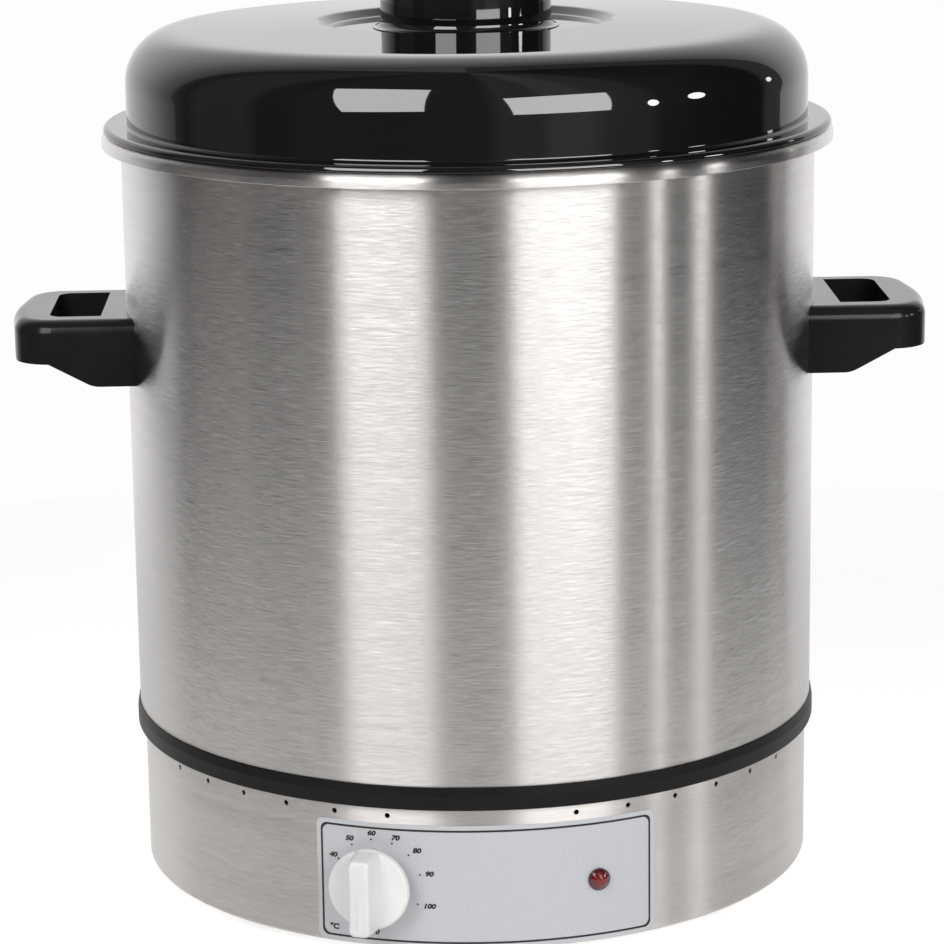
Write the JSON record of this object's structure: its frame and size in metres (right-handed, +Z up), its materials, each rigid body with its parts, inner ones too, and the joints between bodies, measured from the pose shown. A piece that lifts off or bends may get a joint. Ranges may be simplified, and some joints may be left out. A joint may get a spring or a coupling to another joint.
{
  "type": "candle wax melter",
  "caption": "Deep round steel pot with a lift-off lid and two loop handles, on a heated base with a dial thermostat and a lamp, for melting candle wax.",
  "frame": {"origin": "on the pot's axis at the level of the floor that the feet stand on", "axes": "+Z up, -Y towards the front with the control knob, +X towards the right handle as seen from the front"},
  "size_m": [0.4652, 0.3806, 0.4647],
  "materials": {
    "pot_steel": "satin, brushed round the pot",
    "skirt_steel": "satin, brushed along",
    "ring_black": "matt",
    "handle_black": "semi-matt",
    "lid_black": "gloss",
    "label_foil": "silver-grey foil, satin",
    "knob_white": "satin gloss",
    "lens_red": "clear red plastic",
    "housing_black": "moulded",
    "plain_steel": "zinc plated",
    "plain_aluminium": "mill finish",
    "element_metal": "heat-dulled",
    "bulb_copper": "drawn copper",
    "block_white": "natural nylon",
    "wire_sleeve": "silicone sleeve",
    "foot_rubber": "matt"
  },
  "bodies": {
    "melter": {"base_skirt": "skirt_steel", "block_screws": "plain_steel", "bottom_plate": "plain_steel", "bulb_clip": "plain_steel", "capillary_tube": "bulb_copper", "cord_gland": "housing_black", "element_pins": "plain_steel", "feet": "foot_rubber", "foot_nuts": "plain_steel", "foot_screws": "plain_steel", "gland_cap": "housing_black", "gland_nut": "housing_black", "handle_screws": "plain_steel", "heat_shield": "plain_steel", "heat_spreader": "plain_aluminium", "heating_element": "element_metal", "insulating_ring": "ring_black", "internal_wires": "wire_sleeve", "label_plate": "label_foil", "lamp_body": "housing_black", "lamp_clip": "plain_steel", "lamp_lens": "lens_red", "left_handle_bracket": "plain_steel", "left_handle_grip": "handle_black", "left_handle_gusset": "handle_black", "pot": "pot_steel", "right_handle_bracket": "plain_steel", "right_handle_grip": "handle_black", "right_handle_gusset": "handle_black", "sensor_bulb": "bulb_copper", "shield_nut": "plain_steel", "shield_spacer": "plain_steel", "terminal_block": "block_white", "thermal_cutout": "housing_black", "thermostat_body": "housing_black", "thermostat_screws": "plain_steel", "thermostat_seat": "housing_black", "tie_nut": "plain_steel", "tie_stud": "plain_steel", "tie_washer": "plain_steel"},
    "lid_assembly": {"lid": "lid_black", "lid_knob": "lid_black", "lid_washer": "plain_steel", "lid_screw": "plain_steel"},
    "knob_assembly": {"control_knob": "knob_white", "thermostat_spindle": "plain_steel"}
  },
  "joints": [
    {"name": "lid_lift", "type": "slide", "parent": "melter", "child": "lid_assembly", "axis": [0, 0, 1], "range_m": [0, 0.35]},
    {"name": "knob_turn", "type": "hinge", "parent": "melter", "child": "knob_assembly", "pos_m": [-0.054, -0.16425, 0.0378], "axis": [0.3123, 0.95, 0], "range_deg": [0, 295]}
  ]
}
